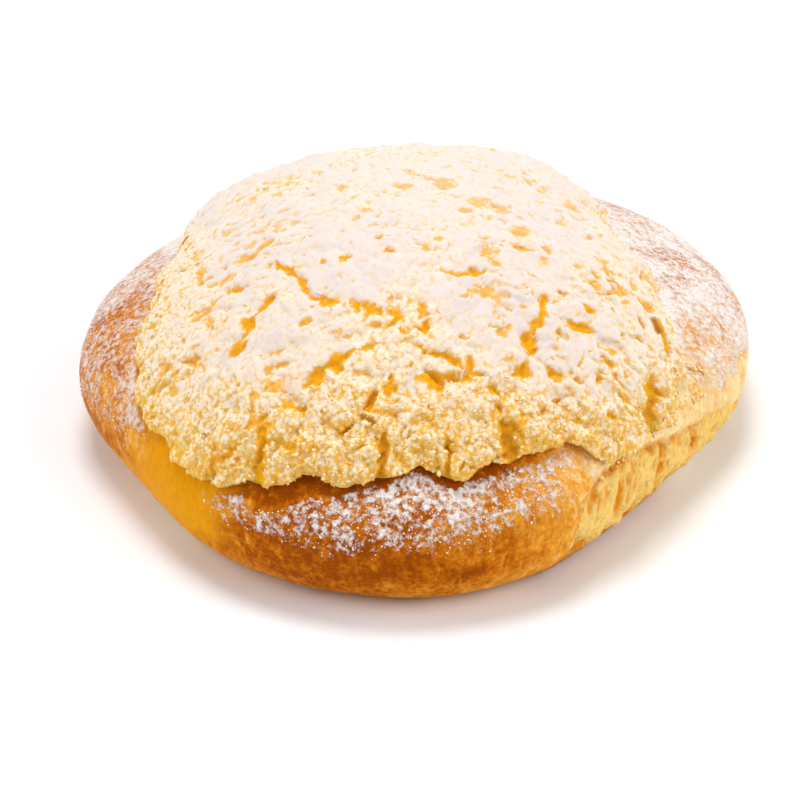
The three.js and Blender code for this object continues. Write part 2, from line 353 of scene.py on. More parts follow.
def plan_middle():
    """Middle of the bun's plan, which the part has at its origin."""
    angle = np.linspace(0, math.tau, 721)
    outline = on_plan(angle, bun_radius(angle), 0 * angle)
    return (outline.min(axis=0) + outline.max(axis=0)) / 2


PLAN_MIDDLE = plan_middle()


def torn_cover(angle, height, points):
    """1 on the torn crumb and 0 off it, with a ragged border."""
    ragged = layered(points, TORN_BORDER)
    below = grow(tear_height(angle) - height + ragged, -0.5, 0.7)
    above = grow(height + ragged, TORN_FOOT - 0.8, TORN_FOOT + 1.0)
    return below * above


def tear_height(angle):
    """Height of the tear, and far below the bun where there is none."""
    return read_off(TEAR_LINE, np.degrees(angle), -99)


def tear_groove(angle, height, points):
    """1 along the middle of the tear above the torn crumb."""
    away = np.abs(height - tear_height(angle) + layered(points, TEAR_WAVES))
    return band(np.degrees(angle), *TEAR_OPEN) * fade(away, 0.2, 1.0)


def torn_hollows(angle, height, points):
    """1 in the torn crumb's holes, valleys and tear, where shade is painted, and along its lower edge,
    which is toasted.
    """
    valleys = 0.9 * grow(-layered(points, TORN_FIBRES), 0.0, 0.5)
    edge = 0.9 * fade(height + layered(points, TORN_EDGE), 2.5, 5.5)
    open_ = np.maximum(torn_holes(angle, height, points), np.maximum(valleys, edge))
    tear = 0.6 * tear_groove(angle, height, points)
    return np.maximum(open_ * torn_cover(angle, height, points), tear)


def torn_holes(angle, height, points):
    nearest, own = grain_field(points * np.array([1, 1, 0.6]), 2.6, 41)
    small = np.where(own < 0.5, fade(nearest, 0.12, 0.42), 0)
    direction = np.degrees(angle)
    large = np.zeros(len(points))
    for at, level, radius in TORN_HOLES:
        aside = np.radians(direction - at) * BUN_RADIUS * 0.9
        gap = np.hypot(aside, (height - level) * 0.6)
        large = np.maximum(large, fade(gap, 0.3 * radius, radius))
    return np.maximum(0.7 * small, large)


# Form of the coconut crust

def topping_radius(angle):
    lumpy = swollen(TOPPING_RADIUS, TOPPING_SWELLS, angle)
    for waves, size in EDGE_LUMPS:
        lumpy = lumpy + size * np.sin(waves * angle + GOLDEN_ANGLE * waves)
    return soft_min(lumpy, WIDEST_SHARE * bun_radius(angle), WIDEST_BLEND)


def over_dough(angle, share, lift):
    """Places at a share of the topping's radius, lifted off the dough."""
    radius = share * topping_radius(angle)
    return on_plan(angle, radius, dome_height(angle, radius) + SEAT_GAP + lift)


def topping_face(angle, share):
    crown = (CROWN_THICKNESS - RIM_THICKNESS) * (1 - share ** 2)
    rim = (RIM_THICKNESS - LIP_LIFT) * np.sqrt(1 - share ** RIM_POWER)
    return over_dough(angle, share, LIP_LIFT + rim + crown)


def topping_seat(angle, share):
    return over_dough(angle, share, LIP_LIFT * grow(share, LIP_START, 1))


def topping_normal(angle, share):
    step = 0.01
    inner = topping_face(angle, np.maximum(share - step, step))
    outer = topping_face(angle, np.minimum(np.maximum(share, step) + step, 0.999))
    sideways = topping_face(angle + step, share) - topping_face(angle - step, share)
    return unit(np.cross(outer - inner, sideways))


def walked(strides):
    return np.concatenate([[0], np.cumsum(strides)])


def section_walk():
    """Shares of the radius along the topping's section, and the way along it."""
    share = 1 - np.linspace(1, 0, 2000) ** 2
    section = topping_face(np.full(len(share), -0.5 * math.pi), share)
    return share, walked(np.linalg.norm(np.diff(section, axis=0), axis=1))


def even_shares(way):
    """Shares of the radius at even steps along the topping's section."""
    share, reached = section_walk()
    return np.interp(way * reached[-1], reached, share)


def unrolled(angle, share):
    """The topping's face laid flat, with its steep rim at full length."""
    reached = np.interp(share, *section_walk())
    return on_plan(angle, reached, 0 * reached)


def clump_middles(count, spacing, nudge):
    i = np.arange(count)
    distance = spacing * np.sqrt(i + 0.5)
    nudges = np.stack([scatter(2 * i), scatter(2 * i + 1)], axis=-1)
    return on_plan(i * GOLDEN_ANGLE, distance, i)[:, :2] + nudge * (2 * nudges - 1)


def in_batches(spots, work):
    batches = np.array_split(spots, len(spots) // 3000 + 1)
    return np.concatenate([work(batch) for batch in batches])


def clump_relief(spots, clumps):
    """Swell of the nearest clump, and the crease beside it where one has opened."""
    count, spacing, nudge, swell, crease_width, crease_depth, crease_share = clumps
    middles = clump_middles(count, spacing, nudge)

    def of_batch(batch):
        gaps = np.linalg.norm(batch[:, None] - middles[None], axis=-1)
        pair = np.argpartition(gaps, 1, axis=1)[:, :2]
        nearest, second = np.take_along_axis(gaps, pair, axis=1).T
        opened = scatter(pair.min(axis=1) * count + pair.max(axis=1)) < crease_share
        rounded = swell * (1 - 2 * nearest / (nearest + second))
        crease = np.where(opened, crease_depth * fade(second - nearest, 0, crease_width), 0)
        return np.stack([rounded, crease], axis=-1)

    return in_batches(spots, of_batch).T


def crack_trail(x, y, heading, length, bend, half_width):
    """Points along a crack, with half widths, share of the depth and raggedness."""
    step = np.arange(CRACK_STEPS + 1)
    turn = np.radians(heading + bend * (step + 0.5) / CRACK_STEPS)
    stride = length / CRACK_STEPS
    along_x = x + stride * walked(np.cos(turn[:-1]))
    along_y = y + stride * walked(np.sin(turn[:-1]))
    taper = np.sqrt(np.sin(math.pi * (step + 1) / (CRACK_STEPS + 2)))
    wide = np.full(len(step), half_width)
    return np.stack([along_x, along_y, wide, wide, taper, np.ones(len(step))], axis=-1)


def photo_pixels(points):
    """Pixels of the photograph that show places on the dough, and their depth."""
    lift = math.radians(VIEW_ELEVATION)
    x, y, z = points.T
    rise = z - VIEW_TARGET_HEIGHT
    depth = VIEW_DISTANCE + y * math.cos(lift) - rise * math.sin(lift)
    scale = PIXELS_PER_MM * VIEW_DISTANCE / depth
    across = VIEW_TARGET_PIXEL[0] + scale * x
    down = VIEW_TARGET_PIXEL[1] - scale * (y * math.sin(lift) + rise * math.cos(lift))
    return np.stack([across, down], axis=-1), depth


def pit_trail():
    """The pits of the photograph, as rows like those of a crack."""
    angle, share = np.meshgrid(np.radians(np.arange(-180, 180, 0.5)), np.linspace(0, 0.999, 240))
    face = topping_face(angle.ravel(), share.ravel())
    pixels, depth = photo_pixels(face)

    def seen_at(x, y):
        gap = np.hypot(pixels[:, 0] - x, pixels[:, 1] - y)
        near = np.flatnonzero(gap < max(PIXEL_REACH, gap.min() + 1))
        return face[near[np.argmin(depth[near])], :2]

    rows = []
    for x, y, width, height in PITS_SEEN:
        across = 0.5 * np.linalg.norm(seen_at(x + 0.5 * width, y) - seen_at(x - 0.5 * width, y))
        along = 0.5 * np.linalg.norm(seen_at(x, y + 0.5 * height) - seen_at(x, y - 0.5 * height))
        halves = np.maximum([across, along], LEAST_PIT)
        rows.append((*seen_at(x, y), *halves, PIT_DEPTH_SHARE, PIT_RAGGEDNESS))
    return np.array(rows)


CRACK_TRAILS = np.concatenate([crack_trail(*row) for row in CRACKS] + [pit_trail()])


def crack_depth(spots, raggedness):
    """Depth of the cracks, with walls as ragged as the given offsets."""
    def of_batch(batch):
        x, y, across, along, share, ragged = CRACK_TRAILS.T
        reach = np.hypot((batch[:, :1] - x) / across, (batch[:, 1:2] - y) / along)
        reach = reach + batch[:, 2:] * ragged / np.minimum(across, along)
        return (share * fade(reach, 0.15, 1.45)).max(axis=1)

    return CRACK_DEPTH * in_batches(np.column_stack([spots, raggedness]), of_batch)


def warped(points, size, reach, seed):
    """Places moved about by soft noise, for ragged borders."""
    drift = [soft_noise(points, size, seed + axis) for axis in range(3)]
    return points + reach * np.stack(drift, axis=-1)


def rim_side(points, sign, rim, end):
    """1 at the left or right rim, fading inwards and to the back."""
    return grow(sign * points[:, 0], *rim) * fade(points[:, 1], *end)


def smooth_side(points):
    """1 at the left rim, where the crust is more even."""
    return rim_side(points, -1, *LEFT_RIM)


def dusting(points, normal):
    """How thickly sugar lies on the coconut crust, from 0 to 1."""
    back = grow(points[:, 1], *SUGARED_BACK)
    left = smooth_side(points)
    right = rim_side(points, 1, *RIGHT_RIM)
    level = grow(normal[:, 2], 0.1, 0.9)
    share = 0.26 + 0.62 * back - 0.4 * left - 0.16 * right + layered(points, COAT_PATCHES)
    return np.clip(share * (0.35 + 0.65 * level), 0, 0.95)


def golden_spots(points):
    """Groups of small places where golden crust shows through the sugar."""
    drawn = points * np.array([0.75, 1.3, 1])
    fine = soft_noise(drawn, SPOT_SIZE, 91) + 0.5 * soft_noise(points, 0.5 * SPOT_SIZE, 92)
    return grow(fine + 0.5 * soft_noise(points, SPOT_GROUPS, 93), 0.36, 0.98)


def topping_crust(angle, share):
    """The coconut crust's places, smooth normals, coat, sugar and hollowness."""
    face = topping_face(angle, share)
    normal = topping_normal(angle, share)
    room = face[:, 2] - topping_seat(angle, share)[:, 2]
    coat = dusting(face, normal)
    ragged = warped(warped(face, *COARSE_RAGS), *FINE_RAGS)
    frayed = warped(ragged, *FRAYS)
    flat = unrolled(angle, share)[:, :2] + (ragged - face)[:, :2]
    large, large_crease = clump_relief(flat, LARGE_CLUMPS)
    small, small_crease = clump_relief(flat, SMALL_CLUMPS)
    spots = golden_spots(ragged)
    cracks = crack_depth(frayed[:, :2], np.maximum(layered(face, CRACK_CLOSING), -0.25))
    cracks = np.maximum(cracks, SPOT_DEPTH * spots)
    sunk = np.maximum(grow(cracks, 0.06, 0.5), 0.75 * spots)
    apart, heft = grain_field(ragged, LUMP_SIZE, 61)
    nearest, own = grain_field(frayed, GRAIN_SIZE, 65)
    lumps = LUMP_SWELL * (0.5 - grow(apart, 0.15, 0.85)) * (0.5 + heft) * (1 - 0.7 * coat)
    clear = 1 - 0.8 * coat * (1 - sunk)
    grain = GRAIN_SWELL * (0.5 - grow(nearest, 0.15, 0.75)) * (0.5 + own) * clear
    even = 1 - 0.6 * smooth_side(face)
    creases = (large_crease + small_crease) * (1 - 0.8 * coat) * even
    coarse = (large + small) * (1 - 0.6 * coat) * even - creases - cracks + lumps * even
    relief = np.maximum(coarse, -DEEPEST_SHARE * room) + grain * np.minimum(1, room / 2)
    gaps = 0.3 * grow(apart, 0.6, 0.95) + 0.5 * grow(nearest, 0.5, 0.8)
    hollow = np.clip(sunk + (0.8 * grow(creases, 0.3, 1.2) + gaps) * (1 - 0.85 * coat) * even, 0, 1)
    tips = fade(nearest, 0.3, 0.62) * grow(normal[:, 2], -0.2, 0.7)
    sugar = np.clip(0.22 * coat + 0.47 + 0.14 * tips * (1 - coat) - 0.6 * hollow, 0, 1)
    frill = grow(share, 0.955, 1) * layered(face, HEM_FRILL)
    hem = on_plan(angle, frill, -0.7 * frill)
    return face + normal * relief[:, None] + hem, normal, coat, sugar, hollow


# Where the bun is browned, where shade is painted under the coconut crust's lip, and where the sugar lies

def around(direction, middle, reach):
    """1 in a direction, fading to 0 at a reach to either side."""
    away = np.abs((direction - middle + 180) % 360 - 180)
    return fade(away, 0.35 * reach, reach)


def crust_powder(angle, height, beyond, points):
    """How much sugar shows on the bare crust, from 0 to 1."""
    direction = np.degrees(angle) + layered(points, SUGAR_ASIDE)
    drift = layered(points, SUGAR_DRIFT)
    level = grow(height + drift - read_off(SUGAR_FOOT, direction), 0, 4.5)
    bare_strip = 2.0 * around(direction, *BARE_STRIP)
    sheltered = grow(beyond + 0.4 * drift, bare_strip - 0.5, bare_strip + 0.6)
    beside = 0.72 + 0.5 * fade(beyond + drift, 0.5, 6)
    clots = beside * (1 + layered(points, SUGAR_CLOTS))
    return np.clip(read_off(SUGAR_COVER, direction) * level * sheltered * clots, 0, 1)


def beyond_topping(angle, share, low):
    """How far a place lies outside the topping, with low places far out."""
    return np.where(low, 9, share * bun_radius(angle) - topping_radius(angle))


def browning(angle, height, beyond, points):
    """How dark the crust is baked, from 0, pale, to 1, deep brown, with painted shade under the coconut
    crust's lip.
    """
    direction = np.degrees(angle) + layered(points, BAKING_ASIDE)
    level = read_off(BAKING_UP, height + layered(points, BAKING_DRIFT))
    pale_foot = around(direction, *PALE_SIDE) * fade(height, 14, 20)
    torn_edge = 0.75 * around(direction, *TORN_SIDE) * fade(height, 2, 4.5)
    # Painted shade: the crust is darkened just under the coconut crust's lip, where its shadow falls.
    painted_lip_shade = 0.6 * fade(beyond, 0.2, 1.3) * around(direction, *LIP_SHADE)
    baked = read_off(BAKING, direction) * level * (1 - 0.85 * pale_foot)
    return np.clip(baked + layered(points, BAKING_MOTTLE) + painted_lip_shade + torn_edge, 0, 1)


def amber(angle, height, points):
    """1 on the moist, amber side that rose against a neighbour."""
    direction = np.degrees(angle) + layered(points, AMBER_ASIDE)
    return around(direction, *AMBER_SIDE) * band(height, *AMBER_HEIGHTS)


# Meshes

def in_scene(name, data):
    piece = bpy.data.objects.new(name, data)
    bpy.context.scene.collection.objects.link(piece)
    return piece


def finished(name, mesh, smooth=True):
    """An object for a mesh placed by its vertices, riding on the bun's body."""
    mesh.name = name
    if smooth:
        mesh.shade_smooth()
    piece = in_scene(name, mesh)
    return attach(piece, "root")


def mesh_from(bm, name):
    mesh = bpy.data.meshes.new(name)
    bm.to_mesh(mesh)
    bm.free()
    return mesh


def rows_of(items, field):
    flat = np.zeros(len(items) * 3, np.float32)
    items.foreach_get(field, flat)
    return flat.reshape(-1, 3).astype(float)


def set_places(mesh, points):
    """Moves vertices to places in millimetres from the middle of the dough."""
    metres = (points - PLAN_MIDDLE) * MM
    mesh.vertices.foreach_set("co", metres.astype(np.float32).ravel())
    mesh.update()


def paint(mesh, **layers):
    """Stores a number for each vertex under each name."""
    for name, values in layers.items():
        layer = mesh.attributes.new(name, "FLOAT", "POINT")
        layer.data.foreach_set("value", np.asarray(values, np.float32))


def section_at(turn):
    """Share of the widest radius, and height, at a turn up from the widest line."""
    rising = turn >= 0
    belly_share = FOOT_SHARE + (1 - FOOT_SHARE) * np.cos(turn)
    climb = np.where(rising, DOME_HEIGHT - BELLY_HEIGHT, BELLY_HEIGHT)
    share = np.where(rising, np.cos(turn) ** (2 / DOME_POWER), belly_share)
    return share, BELLY_HEIGHT + climb * np.sin(turn)


def dough_section():
    """Half of the bun's section from base to top, as share of the radius and height."""
    foot = [(FOOT_SHARE * row / FOOT_ROWS, 0.0) for row in range(FOOT_ROWS)]
    ends = np.radians([-90, 0, SHOWN_TURN, 90])
    rows = (BELLY_ROWS, DOME_ROWS, HIDDEN_ROWS)
    turns_up = [np.linspace(*pair, count, endpoint=False) for *pair, count in zip(ends, ends[1:], rows)]
    return foot + list(zip(*section_at(np.concatenate(turns_up)))) + [(0.0, DOME_HEIGHT)]


def crust_relief(angle, height, share, points):
    """Uneven dough, wrinkled skin, and torn crumb with fibres, holes and a tear."""
    torn = torn_cover(angle, height, points)
    wrinkles = layered(points, SKIN_WRINKLES)
    holes = TORN_HOLE_DEPTH * torn_holes(angle, height, points)
    groove = TEAR_GROOVE * tear_groove(angle, height, points)
    sunk = torn * (TORN_DEPTH - layered(points, TORN_FIBRES) + holes)
    skin = grow(height, 0.2, 2.5) * grow(share, 0.45, 0.65)
    return skin * (layered(points, DOUGH_LUMPS) + (1 - torn) * wrinkles - sunk - groove)


def make_bun():
    bm = bmesh.new()
    verts = [bm.verts.new((share, 0, height)) for share, height in dough_section()]
    edges = [bm.edges.new(pair) for pair in zip(verts, verts[1:])]
    ring = {"axis": (0, 0, 1), "angle": math.tau, "steps": BUN_SECTORS, "use_merge": True}
    bmesh.ops.spin(bm, geom=verts + edges, cent=(0, 0, 0), **ring)
    bmesh.ops.remove_doubles(bm, verts=bm.verts, dist=1e-6)
    bmesh.ops.recalc_face_normals(bm, faces=bm.faces)
    mesh = mesh_from(bm, "bun_crust")
    x, y, height = rows_of(mesh.vertices, "co").T
    angle = np.arctan2(y, x)
    share = np.hypot(x, y)
    smooth = on_plan(angle, share * bun_radius(angle), height)
    set_places(mesh, smooth)
    relief = crust_relief(angle, height, share, smooth)
    shaped = smooth + rows_of(mesh.vertex_normals, "vector") * relief[:, None]
    shaped[:, 2] = np.maximum(shaped[:, 2], 0)
    set_places(mesh, shaped)
    torn = torn_cover(angle, height, smooth)
    beyond = beyond_topping(angle, share, height < BELLY_HEIGHT)
    paint(
        mesh,
        torn=torn,
        hole=torn_hollows(angle, height, smooth),
        browning=browning(angle, height, beyond, smooth),
        amber=amber(angle, height, smooth),
        powder=crust_powder(angle, height, beyond, smooth) * (1 - torn),
        haze=1 - around(np.degrees(angle), *CLEAR_SUGAR),
    )
    return finished("bun_crust", mesh)


def square_to_disc(x, y):
    """The place on a disc of a place on the square round it."""
    across = np.abs(x) >= np.abs(y)
    radius = np.where(across, x, y)
    safe = np.where(radius == 0, 1, radius)
    turn = np.where(across, 0.25 * math.pi * y / safe, 0.5 * math.pi - 0.25 * math.pi * x / safe)
    return radius * np.cos(turn), radius * np.sin(turn)


def browned_holes(points):
    """1 where the coconut crust is open down to browned dough."""
    open_ = np.zeros(len(points))
    for x, y, radius in BROWNED_HOLES:
        gap = np.hypot(points[:, 0] - x, points[:, 1] - y) + layered(points, HOLE_BORDER)
        open_ = np.maximum(open_, fade(gap, 0.4 * radius, radius))
    return open_


def pale_dips(points):
    """How far sugar pales the dips, from 0 to 1."""
    return np.maximum(0.5 * grow(points[:, 1], *PALE_DIPS), 0.4 * smooth_side(points))


def browned_dips(points, coat, hollow):
    """How far painted shade darkens the deepest bare dips to brown, from 0 to 1."""
    bare = 0.5 * grow(hollow, 0.75, 1) * fade(coat, 0.2, 0.55)
    return bare * grow(points[:, 0], *SHADED_DIPS_REACH)


def make_topping():
    bm = bmesh.new()
    bmesh.ops.create_grid(bm, x_segments=TOPPING_CELLS, y_segments=TOPPING_CELLS, size=1)
    inset = 1.0
    for share in SEAT_SHARES:
        rim = [edge for edge in bm.edges if edge.is_boundary]
        ring = bmesh.ops.extrude_edge_only(bm, edges=rim)["geom"]
        corners = [item for item in ring if isinstance(item, bmesh.types.BMVert)]
        for vert in corners:
            vert.co.xy *= share / inset
            vert.co.z = -1
        inset = share
    bmesh.ops.pointmerge(bm, verts=corners, merge_co=(0, 0, -1))
    bmesh.ops.recalc_face_normals(bm, faces=bm.faces)
    mesh = mesh_from(bm, "coconut_crust")
    across, along, level = rows_of(mesh.vertices, "co").T
    x, y = square_to_disc(across, along)
    angle = np.arctan2(y, x)
    way = np.clip(np.hypot(x, y), 0, 1)
    under = level < -0.5
    share = np.where(under, way, even_shares(way))
    crust, _, coat, sugar, hollow = topping_crust(angle, share)
    shaped = np.where(under[:, None], topping_seat(angle, share), crust)
    set_places(mesh, shaped)
    facing_up = rows_of(mesh.vertex_normals, "vector")[:, 2] + 0.4 * coat
    tipped = 0.3 + 0.78 * grow(facing_up, 0.05, 0.75)
    # Brown where the crust is open to the dough, and painted shade in the deepest bare dips.
    browned = np.maximum(browned_holes(shaped), browned_dips(shaped, coat, hollow))
    browned = np.where(under, 0, browned)
    paint(
        mesh,
        hollow=np.where(under, 0.6, hollow * (1 - pale_dips(shaped))),
        coat=coat,
        browned=browned,
        powder=np.where(under, 0, np.clip(sugar * tipped - browned, 0, 1)),
    )
    return finished("coconut_crust", mesh)


def speck_template():
    """Corners and triangles of one grain."""
    bm = bmesh.new()
    bmesh.ops.create_uvsphere(bm, u_segments=4, v_segments=2, radius=1)
    bmesh.ops.triangulate(bm, faces=bm.faces)
    bmesh.ops.recalc_face_normals(bm, faces=bm.faces)
    bm.verts.ensure_lookup_table()
    corners = np.array([vert.co for vert in bm.verts])
    triangles = np.array([[vert.index for vert in face.verts] for face in bm.faces])
    bm.free()
    return corners, triangles


def turns(draws, count):
    """A random turning matrix for each grain."""
    quaternion = draws.normal(size=(count, 4))
    w, x, y, z = (quaternion / np.linalg.norm(quaternion, axis=1, keepdims=True)).T
    return np.array([
        [1 - 2 * (y * y + z * z), 2 * (x * y - z * w), 2 * (x * z + y * w)],
        [2 * (x * y + z * w), 1 - 2 * (x * x + z * z), 2 * (y * z - x * w)],
        [2 * (x * z - y * w), 2 * (y * z + x * w), 1 - 2 * (x * x + y * y)],
    ]).transpose(2, 0, 1)


def strewn(name, middles, radius, normal, draws, stretch, flatness, lumpiness):
    """One mesh of many grains, turned at random and pressed flat, and which way their corners point."""
    corners, triangles = speck_template()
    count = len(middles)
    sizes = radius[:, None] * draws.uniform(*stretch, (count, 3))
    shape = corners[None] * (1 + lumpiness * draws.uniform(-1, 1, (count, len(corners), 1)))
    turned = np.einsum("nij,nkj->nki", turns(draws, count), shape * sizes[:, None])
    risen = np.einsum("nki,ni->nk", turned, normal)
    turned = turned - flatness * risen[..., None] * normal[:, None]
    points = (middles[:, None] + turned).reshape(-1, 3)
    faces = (triangles[None] + len(corners) * np.arange(count)[:, None, None]).reshape(-1, 3)
    mesh = bpy.data.meshes.new(name)
    mesh.from_pydata([(0, 0, 0)] * len(points), [], faces.tolist())
    set_places(mesh, points)
    return mesh, unit(turned)


def drawn_between(draws, sizes, count, power):
    return sizes[0] + (sizes[1] - sizes[0]) * draws.random(count) ** power


def bun_spot(angle, turn):
    """A place on the smooth dough, and its share of the radius there."""
    share, height = section_at(turn)
    return on_plan(angle, share * bun_radius(angle), height), share


def dome_normal(angle, turn):
    step = 0.01
    rise = bun_spot(angle, turn + step)[0] - bun_spot(angle, turn - step)[0]
    sideways = bun_spot(angle + step, turn)[0] - bun_spot(angle - step, turn)[0]
    return unit(np.cross(sideways, rise))


def make_crumbs():
    draws = np.random.default_rng(5)
    i = np.arange(CRUMB_TRIES)
    way = np.sqrt((i + 0.5) / CRUMB_TRIES)
    angle = i * GOLDEN_ANGLE + draws.normal(0, CRUMB_JITTER, CRUMB_TRIES) / np.maximum(way, 0.1)
    angle = (angle + math.pi) % math.tau - math.pi
    share = even_shares(np.clip(way + draws.normal(0, CRUMB_JITTER, CRUMB_TRIES), 0, 0.999))
    crust, normal, coat, _, hollow = topping_crust(angle, share)
    wanted = (1.02 - 0.99 * grow(coat, 0.2, 0.65)) * fade(hollow, 0.3, 0.7)
    wanted = wanted * (1 - 0.4 * smooth_side(crust))
    taken = draws.permutation(np.flatnonzero(draws.random(CRUMB_TRIES) < wanted))[:CRUMB_COUNT]
    crust, normal, coat, hollow = (row[taken] for row in (crust, normal, coat, hollow))
    radius = drawn_between(draws, CRUMB_RADIUS, len(taken), 1.5)
    sunk = draws.uniform(-0.2, 0.5, len(taken)) - 0.5 * coat
    middles = crust + normal * (sunk * radius)[:, None]

    spill_angle = np.radians(draws.uniform(*SPILL_DIRECTIONS, SPILLED_CRUMBS))
    spill_turn = np.radians(draws.uniform(*SPILL_TURNS, SPILLED_CRUMBS))
    spill_normal = dome_normal(spill_angle, spill_turn)
    spill_radius = draws.uniform(*CRUMB_RADIUS, SPILLED_CRUMBS)
    spill_middles = bun_spot(spill_angle, spill_turn)[0] + spill_normal * (0.4 * spill_radius)[:, None]
    spill_hollow = np.full(SPILLED_CRUMBS, 0.2)
    spill_coat = np.full(SPILLED_CRUMBS, 0.3)
    on_crust = (middles, normal, radius, hollow, coat)
    spilled = (spill_middles, spill_normal, spill_radius, spill_hollow, spill_coat)
    middles, normal, radius, hollow, coat = (np.concatenate(pair) for pair in zip(on_crust, spilled))

    mesh, outward = strewn("coconut_crumbs", middles, radius, normal, draws, *CRUMB_SHAPE)
    count, corners = outward.shape[:2]
    upward = outward[..., 2] + 0.25 * draws.normal(size=(count, 1)) + 0.9 * coat[:, None]
    powder = (0.75 + 0.3 * coat[:, None]) * grow(upward, 0.2, 0.95) - 0.4 * hollow[:, None]
    paint(
        mesh,
        powder=np.clip(powder, 0, 1).ravel(),
        tint=np.repeat(draws.random(count), corners),
        hollow=np.repeat(np.clip(hollow, 0, 1), corners),
        coat=np.repeat(0.5 * coat, corners),
    )
    return finished("coconut_crumbs", mesh, smooth=False)


def make_sugar():
    draws = np.random.default_rng(9)
    tries = SPECKS_ON_CRUST * TRIES_PER_SPECK
    angle = draws.uniform(-math.pi, math.pi, tries)
    turn = np.radians(draws.uniform(LOWEST_SPECK_TURN, SHOWN_TURN, tries))
    place, share = bun_spot(angle, turn)
    height = place[:, 2]
    beyond = beyond_topping(angle, share, turn < 0)
    wanted = crust_powder(angle, height, beyond, place) * (1 - torn_cover(angle, height, place))
    taken = np.flatnonzero((beyond > 0.3) & (draws.random(tries) < wanted))[:SPECKS_ON_CRUST]
    angle, turn, height, share, place = (row[taken] for row in (angle, turn, height, share, place))
    lift = crust_relief(angle, height, share, place) + 0.02
    normal = dome_normal(angle, turn)
    middles = place + normal * lift[:, None]

    radius = drawn_between(draws, SPECK_RADIUS, len(middles), 2)
    mesh, outward = strewn("icing_sugar", middles, radius, normal, draws, *SPECK_SHAPE)
    count, corners = outward.shape[:2]
    paint(mesh, tint=np.repeat(draws.random(count), corners))
    return finished("icing_sugar", mesh)


# Node helpers

def join(tree, value, socket):
    if isinstance(value, bpy.types.NodeSocket):
        tree.links.new(value, socket)
    else:
        socket.default_value = value


def fill(tree, node, **inputs):
    """Sets or links the inputs of a node by name."""
    for name, value in inputs.items():
        join(tree, value, node.inputs[name.replace("_", " ")])
    return node


def add(tree, kind, settings=None, **inputs):
    """A shader node with its settings and inputs."""
    made = tree.nodes.new("ShaderNode" + kind)
    for name, value in (settings or {}).items():
        setattr(made, name, value)
    return fill(tree, made, **inputs)


def math_of(tree, operation, *values, clamp=False):
    made = add(tree, "Math", {"operation": operation, "use_clamp": clamp})
    for socket, value in zip(made.inputs, values):
        join(tree, value, socket)
    return made.outputs[0]


def product(tree, first, second, clamp=False):
    return math_of(tree, "MULTIPLY", first, second, clamp=clamp)


def scaled(tree, value, factor, offset):
    return math_of(tree, "MULTIPLY_ADD", value, factor, offset)


def ranged(tree, value, low, high, top=1.0):
    """A number that goes from 0 at low to the top at high."""
    return add(tree, "MapRange", Value=value, From_Min=low, From_Max=high, To_Max=top).outputs[0]


def mixed(tree, share, first, second):
    """A colour that goes from the first to the second."""
    made = add(tree, "Mix", {"data_type": "RGBA"})
    join(tree, share, made.inputs[0])
    join(tree, first, made.inputs[6])
    join(tree, second, made.inputs[7])
    return made.outputs[2]


def painted(tree, name):
    """The number that the mesh holds under that name."""
    return add(tree, "Attribute", {"attribute_name": name}).outputs["Fac"]


def here(tree):
    return add(tree, "TexCoord").outputs["Object"]


def noise(tree, scale, detail=2.0, roughness=0.5, drawn_out=None):
    """Noise with so many lumps in a metre, drawn out along axes with a scale below 1."""
    place = here(tree)
    if drawn_out:
        place = add(tree, "Mapping", Vector=place, Scale=drawn_out).outputs["Vector"]
    made = add(tree, "TexNoise", Vector=place, Scale=scale, Detail=detail, Roughness=roughness)
    return made.outputs["Fac"]


def ramp(tree, share, stops):
    """A colour along named stops of (share, colour)."""
    made = add(tree, "ValToRGB", Fac=share)
    slots = made.color_ramp.elements
    while len(slots) < len(stops):
        slots.new(0.5)
    for slot, (place, colour) in zip(slots, stops):
        slot.position = place
        slot.color = (*colour, 1)
    return made.outputs["Color"]


def new_group(name, inputs, outputs):
    """A shader group, what it is given, and its end node."""
    group = bpy.data.node_groups.new(name, "ShaderNodeTree")
    for side, sockets in (("INPUT", inputs), ("OUTPUT", outputs)):
        for socket in sockets:
            kind = "NodeSocketColor" if "Colour" in socket else "NodeSocketFloat"
            group.interface.new_socket(socket, in_out=side, socket_type=kind)
    return group, group.nodes.new("NodeGroupInput").outputs, group.nodes.new("NodeGroupOutput")


def use(tree, group, **inputs):
    return add(tree, "Group", {"node_tree": group}, **inputs).outputs


def grain_gaps(tree, fineness):
    """How far each place is from its grain's middle."""
    return add(tree, "TexVoronoi", Vector=here(tree), Scale=fineness).outputs["Distance"]


# Effects for the finishes, as groups where several share them

# Icing sugar on the crown is painted darker, as painted shade holding back the strong light on top. Sugar
# on the tips is painted lighter, as painted light on the dimmer front.
CROWN_SUGAR_PAINTED_DARKER = (0.74, 0.65, 0.625, 1)
FALLEN_SUGAR = (0.96, 0.86, 0.81, 1)
BRIGHT_SUGAR = (0.98, 0.93, 0.91, 1)
TIP_SUGAR_PAINTED_LIGHTER = (1.0, 0.83, 0.58, 1)


def dusted(tree, colour, powder, fineness, softness):
    """A colour with powder on it in fine specks, and how far it is covered."""
    fine = scaled(tree, noise(tree, fineness, detail=3.0, roughness=0.6), 2.4, -0.7)
    bare = math_of(tree, "SUBTRACT", 1.0, powder)
    start = math_of(tree, "SUBTRACT", bare, softness)
    full = math_of(tree, "ADD", bare, softness)
    shown = product(tree, ranged(tree, fine, start, full), product(tree, powder, 3.0, clamp=True))
    return mixed(tree, shown, colour, FALLEN_SUGAR), shown


